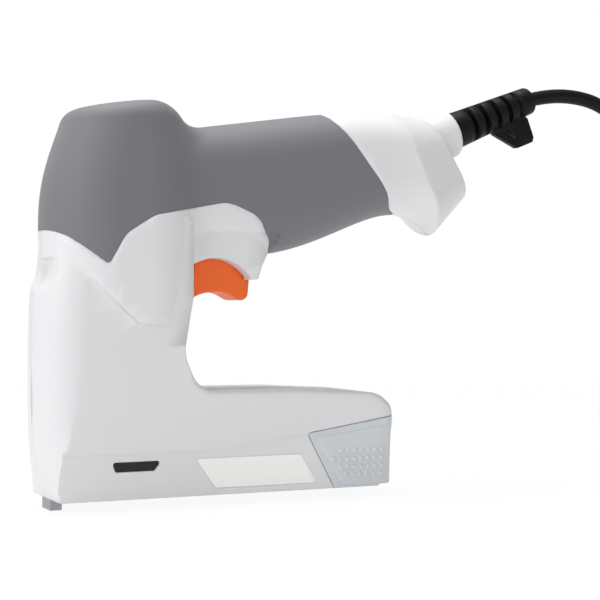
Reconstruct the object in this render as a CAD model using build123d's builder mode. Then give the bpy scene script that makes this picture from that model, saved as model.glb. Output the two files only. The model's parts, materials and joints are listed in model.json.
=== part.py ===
from build123d import *
import math
import os
from dataclasses import dataclass

# Electric stapler. Millimetres. -X is the front (nose), +Y the right side, +Z up.
# The origin is under the middle of the tool, on the surface that its nose touches.

# ---- Driving dimensions ----------------------------------------------------------
wall = 3.0  # moulded housing
skin = 1.6  # soft grip moulded into the housing
seam_gap = 0.1  # left between the two housing halves
trim_gap = 0.15  # left round inserts, caps and the grip skin
slide_gap = 0.3  # left round the parts that slide

head_half_width = 28.0
handle_half_width = 19.5
ridge_half_width = 22.0
column_half_width = 22.6
brow_depth = 1.2  # how far the flatter middle of the column's front arches
guard_half_width = 17.0
base_half_width = 20.4  # at the underside
base_draft = 3.6  # degrees that the base leans out towards the crease
base_bottom = 4.6
crease_height = 24.6

head_front = -100.7
head_rear = -33.0
column_front = -105.0
column_rear = -40.0
arm_rear = 60.0
head_top_front = 174.3
head_blend = 14.0  # radius between the head and the handle
head_top_rear = 175.4
hood_half_width = 24.6  # at the lower edge of the hood
arm_top = 50.0


@dataclass
class Level:
    """A level section of the head or column: rounded rectangle at one height."""

    height: float
    front: float
    rear: float
    half_width: float
    corner: float


@dataclass
class ColumnLevel:
    """A level section of the column and arm: arched front, ridge, flat sides, rounded rear corners."""

    height: float
    front: float
    brow: float  # half the width of the flatter middle of the arch
    ridge: float
    rear: float
    corner: float


@dataclass
class Ring:
    """A section across the handle, from its top point to its bottom point."""

    top: tuple
    bottom: tuple
    half_width: float


head_levels = [
    Level(70.0, head_front + 4.0, head_rear - 3.0, hood_half_width, hood_half_width - 1.0),
    Level(100.0, head_front + 0.8, head_rear - 0.8, head_half_width - 1.0, head_half_width - 2.0),
    Level(114.0, head_front, head_rear, head_half_width, head_half_width - 1.0),
    Level(128.0, head_front, head_rear, head_half_width, head_half_width - 1.0),
    Level(150.0, head_front + 4.0, head_rear - 2.0, head_half_width - 1.5, head_half_width - 2.5),
    Level(190.0, head_front + 7.5, head_rear - 9.0, head_half_width - 6.0, head_half_width - 7.0),
]
column_levels = [
    ColumnLevel(0.0, column_front + 3.8, 11.0, -96.7, arm_rear - 8.0, 7.0),
    ColumnLevel(crease_height, column_front + 0.9, 11.0, -96.2, arm_rear - 1.5, 8.0),
    ColumnLevel(35.0, column_front + 0.3, 11.0, -93.4, arm_rear + 0.2, 8.6),
    ColumnLevel(49.0, column_front, 10.5, -90.2, arm_rear + 1.0, 10.0),
    ColumnLevel(71.0, column_front, 10.0, -87.5, arm_rear + 1.0, 12.0),
    ColumnLevel(97.0, column_front + 0.8, 8.5, -84.5, arm_rear + 1.0, 14.0),
    ColumnLevel(128.0, column_front + 1.0, 8.0, -84.5, arm_rear + 1.0, 16.0),
]
handle_rings = [
    Ring((-58.0, 160.0), (-52.0, 110.4), handle_half_width - 1.5),
    Ring((-28.0, 166.0), (-20.0, 108.4), handle_half_width - 0.5),
    Ring((4.0, 170.8), (12.0, 111.6), handle_half_width),
    Ring((26.0, 174.0), (39.0, 120.8), handle_half_width),
    Ring((45.0, 176.0), (65.0, 129.0), handle_half_width + 0.3),
    Ring((62.0, 176.6), (88.0, 120.0), ridge_half_width),
]
rear_ring = Ring((82.0, 175.0), (105.0, 137.0), ridge_half_width - 7.0)

collar_tilt = 22.0  # degrees that the cord guard points upwards
collar_face = (100.4, 169.6)  # X, Z of the middle of the collar's rear face
collar_radius = 11.7
collar_length = 26.0
collar_round = 2.0
cord_guard_neck = 8.2  # radius where the cord guard passes through the collar
relief_flange_start = 18.0
relief_flange_radius = 10.4
relief_flange_thickness = 2.4
relief_tail = 22.0
relief_start_radius = 8.9
relief_end_radius = 6.65
relief_length = 48.5
slit_count = 5
slit_first = 10.5
slit_pitch = 7.1
slit_width = 2.8
slit_core = 4.8
slit_spine = 1.6  # half the width of the spine left between the slits
tab_corners = [(21, 4), (24.5, 0), (37.5, -6), (46.5, -2.5), (47, 0), (43.5, 9), (37, 13)]  # from the collar's face
tab_slot = [(31.2, 2.2), (32.2, 3.0), (38.3, -1.4), (37.5, -2.3)]
tab_thickness = 3.0

cord_radius = 3.5
tail_length = 16.0
clamp_place = 3.0
clamp_width = 6.0
board_y = 9.0
board_bottom = 141.0
board_top = 161.0
hank_front = 291.0
hank_turn = 28.0  # radius of the widest turns, at the middle of the cord
inner_turn = 21.7
hank_straight = 56.3
hank_layers = 3
turn_gap = 0.05
tie_width = 12.0
tie_sheet = 1.2
plug_neck = 12.0
plug_length = 24.0
plug_width = 25.0
plug_height = 15.0
plug_side = 19.0
plug_inset = 16.0  # from the middle of the hank's rear turn to where the cord enters the plug
blade_pitch = 12.7
blade_sheet = 1.5
blade_height = 6.3
blade_root = 8.0
blade_reach = 16.0

grip_outline = [
    (-115, 120), (-100, 120), (-79, 104), (-72, 117), (-59, 125), (-22, 132), (-8, 126), (-2, 116), (-3, 108),
    (20, 100), (69.5, 120), (69.5, 129), (61, 131), (57, 138), (41, 158), (26, 178), (20, 195), (-115, 195),
]
grip_rounds = [0, 25, 1.5, 12, 12, 14, 12, 6, 0, 0, 0, 4, 8, 12, 20, 20, 0, 0]

# Nose, driver and solenoid
nose_front = -98.5
nose_sheet = 0.8
nose_width = 12.6
nose_top = 34.0
blade_thickness = 1.2
blade_width = 11.0
blade_gap = 0.1
blade_bottom = 21.8
stroke = 21.3
carrier_bottom = 86.0
carrier_thickness = 4.0
solenoid_x = -70.0
plunger_radius = 8.2
bore_gap = 0.08
yoke_bottom = 100.0
yoke_top = 146.0
yoke_plate = 4.0
yoke_length = 36.0
yoke_width = 26.0
coil_radius = 13.4
bobbin_wall = 1.0
shelf_top = 40.0
shelf_thickness = 3.0
spring_radius = 4.6
spring_wire = 1.1
rod_radius = 3.2

# Magazine
staple_width = 11.2
staple_height = 10.0
staple_wire = 1.2
stick_length = 50.0
channel_sheet = 0.8
channel_bottom = 9.0
channel_height = 11.6
channel_rear = 50.0
rail_width = 8.4
cap_front_top = (14.0, 30.0)
cap_front_foot = (30.8, 0.0)
magazine_travel = 110.0
pusher_length = 14.0
guide_rod_radius = 1.2

# Trigger and switch
trigger_front = -35.6
trigger_rear = -9.2
trigger_half_width = 9.0
trigger_lean = 5.0
trigger_travel = 5.0
switch_bottom = 121.0
switch_front = -32.0
spring_x = -26.0
lever_length = 16.0
spring_side = 7.0  # the trigger spring stands this far right of the middle


# ---- Outer form ------------------------------------------------------------------
def rounded_level(level, inset):
    """Draws one level section, smaller by the inset on every side."""
    with BuildSketch(Plane.XY.offset(level.height)) as section:
        with Locations(((level.front + level.rear) / 2, 0)):
            RectangleRounded(
                level.rear - level.front - 2 * inset,
                2 * (level.half_width - inset),
                level.corner - inset,
            )
    return section.sketch


def column_section(level, inset):
    """Draws one level section of the column and arm, smaller by the inset on every side."""
    side = column_half_width
    brow_end = level.front + brow_depth
    with BuildSketch(Plane.XY.offset(level.height)) as section:
        with BuildLine():
            brow = ThreePointArc((brow_end, -level.brow), (level.front, 0), (brow_end, level.brow))
            TangentArc((brow_end, level.brow), (level.ridge, side), tangent=brow % 1)
            TangentArc((brow_end, -level.brow), (level.ridge, -side), tangent=(brow % 0) * -1)
            Polyline((level.ridge, side), (level.rear, side), (level.rear, -side), (level.ridge, -side))
        make_face()
        fillet(section.vertices().group_by(Axis.X)[-1], level.corner)
        if inset:
            offset(amount=-inset, kind=Kind.INTERSECTION)
    return section.sketch


def ring_section(ring, inset):
    """Draws one section across the handle, smaller by the inset on every side."""
    top = Vector(ring.top[0], 0, ring.top[1])
    bottom = Vector(ring.bottom[0], 0, ring.bottom[1])
    upright = (top - bottom).normalized()
    across = Plane(origin=(top + bottom) / 2, x_dir=(0, 1, 0), z_dir=Vector(0, 1, 0).cross(upright))
    with BuildSketch(across) as section:
        RectangleRounded(
            2 * (ring.half_width - inset),
            (top - bottom).length - 2 * inset,
            ring.half_width - inset - 0.5,
        )
    return section.sketch


def side_face(points, radii, inset):
    """A side-view outline with rounded corners, in the middle plane, shrunk by the inset."""
    with BuildSketch(Plane.XZ) as outline:
        with BuildLine():
            FilletPolyline(*points, radius=radii, close=True)
        make_face()
        if inset:
            offset(amount=-inset, kind=Kind.INTERSECTION)
    return outline.sketch


def head_body(inset):
    """Round head with its hood, whose lower edge slants back to the rear of the column."""
    hood = [
        (-120, 109), (-98, 107), (-84, 97), (-65, 79), (-20, 79.5),
        (-20, head_top_rear - 14), (-53, head_top_rear), (-64, head_top_front), (-120, head_top_front - 8.0),
    ]
    with BuildPart() as head:
        for level in head_levels:
            add(rounded_level(level, inset))
        loft()
        extrude(side_face(hood, [0, 8, 30, 6, 0, 6, 20, 20, 0], inset), amount=80, both=True, mode=Mode.INTERSECT)
        rim = head.faces().sort_by(Axis.Z)[-1].edges()
        fillet(rim, 9.0 - inset)
    return head.part


def handle_body(inset):
    """Grip from inside the head to the ridge, then the rear end that draws in behind it."""
    with BuildPart() as handle:
        for ring in handle_rings:
            add(ring_section(ring, inset))
        loft()
        add(ring_section(handle_rings[-1], inset))
        add(ring_section(rear_ring, inset))
        loft(ruled=True)
    return handle.part


def upper_body(inset):
    """Head and handle; on the outside a soft blend joins them."""
    with BuildPart() as upper:
        add(head_body(inset))
        add(handle_body(inset))
        if inset == 0:
            fillet(upper.edges(Select.NEW), head_blend)
    return upper.part


def guard_body(inset):
    """Flat-sided block round the trigger, with the hooked tip behind it."""
    outline = [(-60, 98), (-11.5, 98), (-7.4, 98.2), (-5.6, 104), (-2.2, 111), (3, 115), (3, 134), (-60, 134)]
    with BuildPart() as guard:
        extrude(side_face(outline, [0, 1, 1.6, 8, 6, 6, 8, 0], inset), amount=guard_half_width - inset, both=True)
    return guard.part


def lower_body(inset):
    """Column and magazine arm: side outline, rounded front, and a base that leans out to the crease."""
    outline = [
        (-100.7, base_bottom), (arm_rear - 6.5, base_bottom), (arm_rear, 31), (arm_rear - 3.5, 41),
        (arm_rear - 11, arm_top - 2.8), (10, arm_top - 0.6), (column_rear + 2.5, arm_top - 0.2), (column_rear - 4.2, 66),
        (column_rear, 90), (column_rear, 126), (-97, 126), (-99, 97), (column_front, 92), (column_front - 1, 60),
        (-104.8, crease_height + 1), (-103.7, crease_height - 1),
    ]
    radii = [4, 4, 8, 8, 14, 30, 12, 16, 10, 5, 5, 14, 5, 40, 0.8, 0.8]
    with BuildPart() as lower:
        extrude(side_face(outline, radii, inset), amount=column_half_width + 5, both=True)
        with BuildPart(mode=Mode.PRIVATE) as plan:
            for level in column_levels:
                add(column_section(level, inset))
            loft()
        add(plan.part, mode=Mode.INTERSECT)
    return lower.part


def along_cord(distance):
    """Plane across the cord guard's axis, at a distance behind the collar's rear face."""
    tilt = math.radians(collar_tilt)
    rearwards = Vector(math.cos(tilt), 0, math.sin(tilt))
    centre = Vector(collar_face[0], 0, collar_face[1]) + rearwards * distance
    return Plane(origin=centre, x_dir=(0, 1, 0), z_dir=rearwards)


def beside_collar(points):
    """Side-view points given from the middle of the collar's rear face."""
    return [(collar_face[0] + x, collar_face[1] + z) for x, z in points]


def collar_body(inset):
    """Round collar that holds the cord guard."""
    with BuildPart() as collar:
        with BuildSketch(along_cord(-collar_length)):
            Circle(collar_radius - inset)
        extrude(amount=collar_length - inset)
        fillet(collar.faces().sort_by(Axis.X)[-1].edges(), collar_round)
    return collar.part


def arch_cut(growth):
    """The arched opening over the trigger, seen from the side, right through the guard."""
    with BuildPart() as arch:
        with BuildSketch(Plane.XZ):
            with BuildLine():
                Line((-37.8, 70), (-37.8, 104.6))
                ThreePointArc((-37.8, 104.6), (-25, 107.2), (-11.2, 99.4))
                Polyline((-11.2, 99.4), (-11.2, 90), (20, 90), (20, 70), (-37.8, 70))
            make_face()
            if growth:
                offset(amount=growth, kind=Kind.INTERSECTION)
        extrude(amount=40, both=True)
    return arch.part


def draft_cut(inset):
    """Wedges beside the base that give its sides their lean below the crease."""
    lean = math.radians(base_draft)
    crease = [(-130, crease_height), (-28, crease_height), (-3, 28), (27, 32), (90, 41.5), (90, -20), (-130, -20)]
    side = Plane(
        origin=(0, -(base_half_width - inset), base_bottom),
        x_dir=(1, 0, 0),
        z_dir=(0, -math.cos(lean), -math.sin(lean)),
    )
    with BuildPart() as wedge:
        with BuildSketch(side):
            with BuildLine():
                Polyline(*[(x, z - base_bottom) for x, z in crease], close=True)
            make_face()
            if inset:
                offset(amount=inset, kind=Kind.INTERSECTION)
        extrude(amount=12)
        mirror(about=Plane.XZ)
    return wedge.part


def outer_form(inset=0.0):
    """The whole closed form of the tool, smaller by the inset on every side."""
    with BuildPart() as form:
        add(lower_body(inset))
        add(draft_cut(inset), mode=Mode.SUBTRACT)
        add(upper_body(inset))
        add(guard_body(inset))
        add(arch_cut(inset), mode=Mode.SUBTRACT)
        add(collar_body(inset))
    return form.part


def grip_zone(growth):
    """Side-view zone that the soft grip covers, right through the tool."""
    with BuildPart() as zone:
        extrude(side_face(grip_outline, grip_rounds, -growth), amount=60, both=True)
    return zone.part


def cap_zone(growth):
    """Zone at the rear of the base that slides away with the magazine."""
    outline = [cap_front_top, (27, 32), (90, 41.5), (90, -5), cap_front_foot]
    with BuildPart() as zone:
        extrude(side_face(outline, [1.5, 0, 0, 0, 0], -growth), amount=60, both=True)
    return zone.part


def block(x, y, z, mode=Mode.ADD):
    """A box from its X, Y and Z ranges."""
    with Locations((sum(x) / 2, sum(y) / 2, sum(z) / 2)):
        Box(x[1] - x[0], y[1] - y[0], z[1] - z[0], mode=mode)


# ---- Housing halves and grip -----------------------------------------------------
outer = outer_form()
inner = outer_form(wall)
under_grip = outer_form(skin)

with BuildPart() as grip:
    add(outer)
    add(under_grip, mode=Mode.SUBTRACT)
    add(grip_zone(-trim_gap / 2), mode=Mode.INTERSECT)

with BuildPart() as grip_seat:
    add(outer)
    add(under_grip, mode=Mode.SUBTRACT)
    add(grip_zone(trim_gap / 2), mode=Mode.INTERSECT)


screw_posts = [(-46, 160), (-54, 68), (46, 160), (22, 133), (34, 40)]  # X, Z, axes along Y
post_radius = 3.4
screw_radius = 1.4
screw_head_radius = 2.8
screw_seat = 6.0
screw_reach = 9.0

window_corners = [(-76, 16.0), (-54.2, 16.0), (-57.2, 12.0), (-74.5, 12.0)]
label_corners = [(-38.6, 16.2), (11.2, 16.2), (19.8, 3.0), (-29.2, 3.0)]
label_depth = 0.6


def base_side(depth):
    """Plane on the leaning left side of the base, at a depth under its surface; local Y starts at the underside."""
    lean = math.radians(base_draft)
    outwards = Vector(0, -math.cos(lean), -math.sin(lean))
    return Plane(origin=Vector(0, -base_half_width, base_bottom) - outwards * depth, x_dir=(1, 0, 0), z_dir=outwards)


def side_plate(corners, depth, thickness, growth, rounds=1.0):
    """A plate let into the base's left side, with its outer face at the surface."""
    with BuildPart() as plate:
        with BuildSketch(base_side(depth)):
            with BuildLine():
                FilletPolyline(*corners, radius=rounds, close=True)
            make_face()
            if growth:
                offset(amount=growth, kind=Kind.INTERSECTION)
        extrude(amount=thickness)
    return plate.part


def trigger_outline(growth):
    """Side view of the trigger's finger piece, whose two sides lean the way that it slides."""
    lean = math.tan(math.radians(trigger_lean))
    top = 112.0
    with BuildSketch(Plane.XZ) as outline:
        with BuildLine():
            low_front = (trigger_front - growth, 89.4 - growth)
            high_front = (trigger_front - growth + (top + growth - 89.4) * lean, top + growth)
            low_rear = (trigger_rear + growth, 90.4 - growth)
            high_rear = (trigger_rear + growth + (top + growth - 90.4) * lean, top + growth)
            Line(low_front, high_front)
            Line(high_front, high_rear)
            Line(high_rear, low_rear)
            Spline(low_rear, (-11.5, 89.0 - growth), (-17.1, 91.2 - growth), (-25, 92.6 - growth), low_front)
        make_face()
    return outline.sketch


trigger_shape = trigger_outline(0)
with BuildPart() as trigger_slot:
    extrude(trigger_outline(slide_gap), amount=trigger_half_width + slide_gap, both=True)

housing_floor = base_bottom + wall
cover_half_width = staple_width / 2 + slide_gap + 2 * channel_sheet + slide_gap
cover_top = channel_bottom + channel_height + slide_gap + channel_sheet + 0.6

with BuildPart() as ribs:
    block((-94.5, -38), (-26, 26), (shelf_top - shelf_thickness, shelf_top))
    block((-93, -45), (-26, 26), (yoke_bottom - 3, yoke_bottom))
    with Locations((solenoid_x, 0, yoke_bottom)):
        Cylinder(plunger_radius + 1.0, 12, mode=Mode.SUBTRACT)
    for side in (-1, 1):
        edge = side * (cover_half_width + 1)
        block((-93, cap_front_top[0] - 2), (edge - 1, edge + 1), (base_bottom + 1, cover_top - 2))
    add(inner, mode=Mode.INTERSECT)

with BuildPart() as board_ribs:
    for rib_bottom in (board_bottom + 3, board_top - 6):
        block((-4, 36), (-26, -board_y), (rib_bottom, rib_bottom + 3))
    add(inner, mode=Mode.INTERSECT)

with BuildPart() as spring_rib:
    block((spring_x - 4, spring_x + 4), (spring_side - 3, 26), (switch_bottom, switch_bottom + 2))
    add(inner, mode=Mode.INTERSECT)

with BuildPart() as shell:
    add(outer)
    add(inner, mode=Mode.SUBTRACT)
    add(ribs.part)
    with BuildSketch(Plane.XZ):
        with Locations(screw_posts):
            Circle(post_radius)
    posts = extrude(amount=60, both=True, mode=Mode.PRIVATE)
    add(posts.intersect(inner))
    add(grip_seat.part, mode=Mode.SUBTRACT)
    add(cap_zone(0), mode=Mode.SUBTRACT)
    add(trigger_slot.part, mode=Mode.SUBTRACT)
    block((nose_front - 0.2, -92), (-nose_width / 2 - 0.2, nose_width / 2 + 0.2), (-1, nose_top + 1), mode=Mode.SUBTRACT)
    with BuildSketch(along_cord(-collar_length - 8)):
        Circle(cord_guard_neck + trim_gap)
    extrude(amount=60, mode=Mode.SUBTRACT)
    with BuildSketch(along_cord(-relief_flange_start)):
        Circle(relief_flange_radius + trim_gap)
    extrude(amount=relief_flange_thickness + 2 * trim_gap, mode=Mode.SUBTRACT)


def half(piece, side):
    """The half of a piece on one side of the middle plane: -1 is the left one."""
    with BuildPart() as half_piece:
        add(piece)
        block((-200, 200), (min(side * seam_gap / 2, side * 80), max(side * seam_gap / 2, side * 80)), (-50, 250), mode=Mode.INTERSECT)
    return half_piece.part


plain_half = half(shell.part, 1)
with BuildPart() as housing_left:
    mirror(plain_half, about=Plane.XZ)
    add(board_ribs.part)
    add(side_plate(window_corners, wall + 2, wall + 4, trim_gap), mode=Mode.SUBTRACT)
    add(side_plate(label_corners, label_depth, 4, trim_gap), mode=Mode.SUBTRACT)
    with BuildSketch(Plane.XZ):
        with Locations(screw_posts):
            Circle(screw_radius + 0.05)
    extrude(amount=screw_reach + 1, mode=Mode.SUBTRACT)

with BuildPart() as housing_right:
    add(plain_half)
    add(spring_rib.part)
    with BuildSketch(Plane.XZ):
        with Locations(screw_posts):
            Circle(screw_radius + 0.1)
    extrude(amount=-40, mode=Mode.SUBTRACT)
    with BuildSketch(Plane.XZ.offset(-screw_seat)):
        with Locations(screw_posts):
            Circle(screw_head_radius + 0.2)
    extrude(amount=-40, mode=Mode.SUBTRACT)

with BuildPart() as housing_screws:
    for x, z in screw_posts:
        with BuildSketch(Plane(origin=(x, -screw_reach, z), z_dir=(0, 1, 0))):
            Circle(screw_radius)
        extrude(amount=screw_reach + screw_seat)
        with BuildSketch(Plane(origin=(x, screw_seat, z), z_dir=(0, 1, 0))):
            Circle(screw_head_radius)
        extrude(amount=2.2)
        with BuildSketch(Plane(origin=(x, screw_seat + 1.0, z), z_dir=(0, 1, 0))):
            Rectangle(3.2, 0.8)
            Rectangle(0.8, 3.2)
        extrude(amount=2, mode=Mode.SUBTRACT)

with BuildPart() as label_plate:
    add(side_plate(label_corners, label_depth, label_depth, 0))
with BuildPart() as staple_window:
    add(side_plate(window_corners, wall, wall - 0.6, 0))

# ---- Trigger and switch ----------------------------------------------------------
with BuildPart() as trigger:
    extrude(trigger_shape, amount=trigger_half_width, both=True)
    fillet(trigger.edges().filter_by(GeomType.BSPLINE), 1.2)
    block((spring_x - 4, spring_x + 10), (-trigger_half_width - 2, trigger_half_width + 2), (110.8, 112.0))
    block((switch_front + 15, switch_front + 18), (-2.5, 2.5), (111, 114.0))

lever_drop = math.degrees(math.asin(trigger_travel / lever_length))
lever_pivot = (switch_front + 2.0, switch_bottom - 1.4)
with BuildPart() as switch_body:
    block((switch_front, switch_front + 20), (-3.2, 3.2), (switch_bottom, switch_bottom + 10))
    for side in (-1, 1):
        block((switch_front, switch_front + 4), (side * 2.4 - 0.6, side * 2.4 + 0.6), (switch_bottom - 2.6, switch_bottom + 0.5))
    with BuildSketch(Plane.XZ):
        with Locations((switch_front + 4, switch_bottom + 7), (switch_front + 16, switch_bottom + 7)):
            Circle(1.3)
    extrude(amount=10, both=True, mode=Mode.SUBTRACT)
    block((switch_front + 8.4, switch_front + 11.6), (-1.6, 1.6), (switch_bottom - 1, switch_bottom + 3), mode=Mode.SUBTRACT)

with BuildPart() as switch_button:
    block((switch_front + 8.7, switch_front + 11.3), (-1.3, 1.3), (switch_bottom - 0.9, switch_bottom + 1.2))

with BuildPart() as switch_lever:
    drop = math.radians(lever_drop)
    with BuildSketch(Plane(origin=(lever_pivot[0], 0, lever_pivot[1]), x_dir=(math.cos(drop), 0, -math.sin(drop)), z_dir=(0, -1, 0))):
        with Locations((lever_length / 2, 0)):
            SlotOverall(lever_length + 1.4, 0.7)
    extrude(amount=1.6, both=True)

# ---- Solenoid and driver ---------------------------------------------------------
with BuildPart() as solenoid_yoke:
    block((solenoid_x - yoke_length / 2, solenoid_x + yoke_length / 2), (-yoke_width / 2, yoke_width / 2), (yoke_bottom, yoke_top))
    half_window = yoke_length / 2 - yoke_plate
    block((solenoid_x - half_window, solenoid_x + half_window), (-yoke_width, yoke_width), (yoke_bottom + yoke_plate, yoke_top - yoke_plate), mode=Mode.SUBTRACT)
    with Locations((solenoid_x, 0, yoke_top)):
        Cylinder(plunger_radius + bore_gap, 200, mode=Mode.SUBTRACT)
    fillet(solenoid_yoke.edges().filter_by(Axis.Y).group_by(Axis.Z)[-1], 2.0)

bobbin_bottom = yoke_bottom + yoke_plate
bobbin_length = yoke_top - yoke_bottom - 2 * yoke_plate
bobbin_outer = plunger_radius + bore_gap + bobbin_wall
with BuildPart() as solenoid_bobbin:
    with BuildSketch(Plane.XY.offset(bobbin_bottom)):
        with Locations((solenoid_x, 0)):
            Circle(bobbin_outer)
            Circle(plunger_radius + bore_gap, mode=Mode.SUBTRACT)
    extrude(amount=bobbin_length)
    for level in (bobbin_bottom, bobbin_bottom + bobbin_length - 1.5):
        with BuildSketch(Plane.XY.offset(level)):
            with Locations((solenoid_x, 0)):
                Circle(coil_radius + 0.4)
                Circle(bobbin_outer - 0.5, mode=Mode.SUBTRACT)
        extrude(amount=1.5)

with BuildPart() as solenoid_winding:
    with BuildSketch(Plane.XY.offset(bobbin_bottom + 1.5)):
        with Locations((solenoid_x, 0)):
            Circle(coil_radius)
            Circle(bobbin_outer, mode=Mode.SUBTRACT)
    extrude(amount=bobbin_length - 3.0)

blade_front = nose_front + nose_sheet + blade_gap
carrier_top = carrier_bottom + carrier_thickness
with BuildPart() as plunger:
    with Locations((solenoid_x, 0, yoke_bottom - 2 + 30)):
        Cylinder(plunger_radius, 60)
    with Locations((solenoid_x, 0, (carrier_bottom + yoke_bottom) / 2)):
        Cylinder(rod_radius, yoke_bottom - carrier_bottom)
    chamfer(plunger.faces().sort_by(Axis.Z)[-1].edges(), 0.8)

with BuildPart() as driver_carrier:
    block((blade_front + blade_thickness, solenoid_x + 9), (-6, 6), (carrier_bottom, carrier_top))
    fillet(driver_carrier.edges().filter_by(Axis.Z).group_by(Axis.X)[-1], 5.0)
    with Locations((solenoid_x, 0, carrier_top)):
        Cylinder(rod_radius, 20, mode=Mode.SUBTRACT)
    with Locations((blade_front + 3, 0, carrier_bottom + carrier_thickness / 2)):
        Cylinder(1.0, 10, rotation=(0, 90, 0), mode=Mode.SUBTRACT)

with BuildPart() as driver_blade:
    block((blade_front, blade_front + blade_thickness), (-blade_width / 2, blade_width / 2), (blade_bottom, carrier_top))
    with Locations((blade_front, 0, carrier_bottom + carrier_thickness / 2)):
        Cylinder(1.0, 10, rotation=(0, 90, 0), mode=Mode.SUBTRACT)

with BuildPart() as blade_pin:
    with Locations((blade_front + 4, 0, carrier_bottom + carrier_thickness / 2)):
        Cylinder(1.0, 8, rotation=(0, 90, 0))

bumper_top = carrier_bottom - stroke - 0.3
with BuildPart() as bumper:
    with BuildSketch(Plane.XY.offset(shelf_top)):
        with Locations((solenoid_x, 0)):
            Circle(9.5)
            Circle(spring_radius + 1.4, mode=Mode.SUBTRACT)
    extrude(amount=bumper_top - shelf_top)
    fillet(bumper.faces().sort_by(Axis.Z)[-1].edges(), 0.8)


def coil_spring(radius, wire, length, turns):
    """A round-wire compression spring that stands on the level plane at the origin."""
    pitch = (length - 2 * wire) / turns
    with BuildPart() as spring:
        with BuildLine(Plane.XY.offset(wire)) as path:
            Helix(pitch=pitch, height=pitch * turns, radius=radius)
        with BuildSketch(Plane(origin=path.line @ 0, z_dir=path.line % 0)):
            Circle(wire / 2)
        sweep(is_frenet=True)
    return spring.part


with BuildPart() as return_spring:
    with Locations((solenoid_x, 0, shelf_top)):
        add(coil_spring(spring_radius, spring_wire, carrier_bottom - shelf_top, 9))

with BuildPart() as trigger_spring:
    with Locations((spring_x, spring_side, 112.0)):
        add(coil_spring(2.2, 0.6, switch_bottom - 112.0, 5))

# ---- Nose and magazine -----------------------------------------------------------
with BuildPart() as nose_guide:
    block((nose_front, nose_front + 5.0), (-nose_width / 2, nose_width / 2), (0, nose_top))
    block((nose_front + nose_sheet, nose_front + 6), (-nose_width / 2 + 0.6, nose_width / 2 - 0.6), (-1, nose_top + 1), mode=Mode.SUBTRACT)
    fillet(nose_guide.edges().filter_by(Axis.Y).group_by(Axis.Z)[0].sort_by(Axis.X)[-1:], 0.2)

cover_front = nose_front + 5.2
with BuildPart() as blade_guide:
    block((blade_front + blade_thickness + blade_gap, cover_front - 0.1), (-nose_width / 2 + 0.7, nose_width / 2 - 0.7), (cover_top, nose_top))

with BuildPart() as magazine_cover:
    block((cover_front, cap_front_top[0] - 3), (-cover_half_width, cover_half_width), (housing_floor, cover_top))
    block((cover_front - 5, cap_front_top[0] + 5), (-cover_half_width + channel_sheet, cover_half_width - channel_sheet), (housing_floor - 1, cover_top - channel_sheet), mode=Mode.SUBTRACT)

channel_half = staple_width / 2 + 0.2 + channel_sheet
channel_front = nose_front + 5.0 + slide_gap
cap_rear_inside = arm_rear - 9
with BuildPart() as magazine_channel:
    block((channel_front, cap_rear_inside), (-channel_half, channel_half), (channel_bottom, channel_bottom + channel_height))
    block((channel_front - 1, cap_rear_inside + 1), (-channel_half + channel_sheet, channel_half - channel_sheet), (channel_bottom + channel_sheet, 60), mode=Mode.SUBTRACT)

staple_bottom = channel_bottom + channel_sheet + 0.2
staple_top = staple_bottom + staple_height
rail_half = staple_width / 2 - staple_wire - 0.2
rail_top = staple_top - staple_wire - 0.2
with BuildPart() as inner_rail:
    block((channel_front, cap_rear_inside), (-rail_half, rail_half), (channel_bottom + channel_sheet, rail_top))
    block((channel_front + 3, cap_rear_inside - 3), (-rail_half + channel_sheet, rail_half - channel_sheet), (channel_bottom + channel_sheet + 0.8, rail_top - channel_sheet), mode=Mode.SUBTRACT)
    block((channel_front + 3, cap_rear_inside - 3), (-1.4, 1.4), (rail_top - 2, rail_top + 1), mode=Mode.SUBTRACT)

stick_front = blade_front + blade_thickness + blade_gap + 0.1
stick_rear = stick_front + stick_length
with BuildPart() as staple_stick:
    block((stick_front, stick_rear), (-staple_width / 2, staple_width / 2), (staple_bottom, staple_top))
    block((stick_front - 1, stick_rear + 1), (-staple_width / 2 + staple_wire, staple_width / 2 - staple_wire), (staple_bottom - 1, staple_top - staple_wire), mode=Mode.SUBTRACT)

rod_height = channel_bottom + channel_sheet + 4.6
with BuildPart() as pusher:
    block((stick_rear + 0.1, stick_rear + pusher_length), (-staple_width / 2, staple_width / 2), (staple_bottom, staple_top))
    block((stick_rear - 1, stick_rear + pusher_length + 1), (-rail_half - 0.1, rail_half + 0.1), (staple_bottom - 1, rail_top + 0.1), mode=Mode.SUBTRACT)
    block((stick_rear + 2, stick_rear + 8), (-1.2, 1.2), (rod_height, staple_top - 0.2))
    with Locations((stick_rear + 5, 0, rod_height)):
        Cylinder(2.6, 6, rotation=(0, 90, 0))
        Cylinder(guide_rod_radius + bore_gap, 40, rotation=(0, 90, 0), mode=Mode.SUBTRACT)

with BuildPart() as guide_rod:
    with Locations(((channel_front + cap_rear_inside) / 2, 0, rod_height)):
        Cylinder(guide_rod_radius, cap_rear_inside - channel_front - 6, rotation=(0, 90, 0))

with BuildPart() as pusher_spring:
    spring_start = stick_rear + 8.2
    with Locations((spring_start, 0, rod_height)):
        add(coil_spring(2.0, 0.5, cap_rear_inside - 3.2 - spring_start, 24), rotation=(0, 90, 0))

with BuildPart() as magazine_cap:
    add(outer)
    add(inner, mode=Mode.SUBTRACT)
    block((cap_rear_inside, arm_rear + 20), (-channel_half - 2, channel_half + 2), (base_bottom + 1, channel_bottom + channel_height + 2))
    block((30, cap_rear_inside + 1), (-channel_half - 1.5, channel_half + 1.5), (base_bottom + 1, channel_bottom))
    add(outer, mode=Mode.INTERSECT)
    add(cap_zone(-slide_gap), mode=Mode.INTERSECT)

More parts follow.
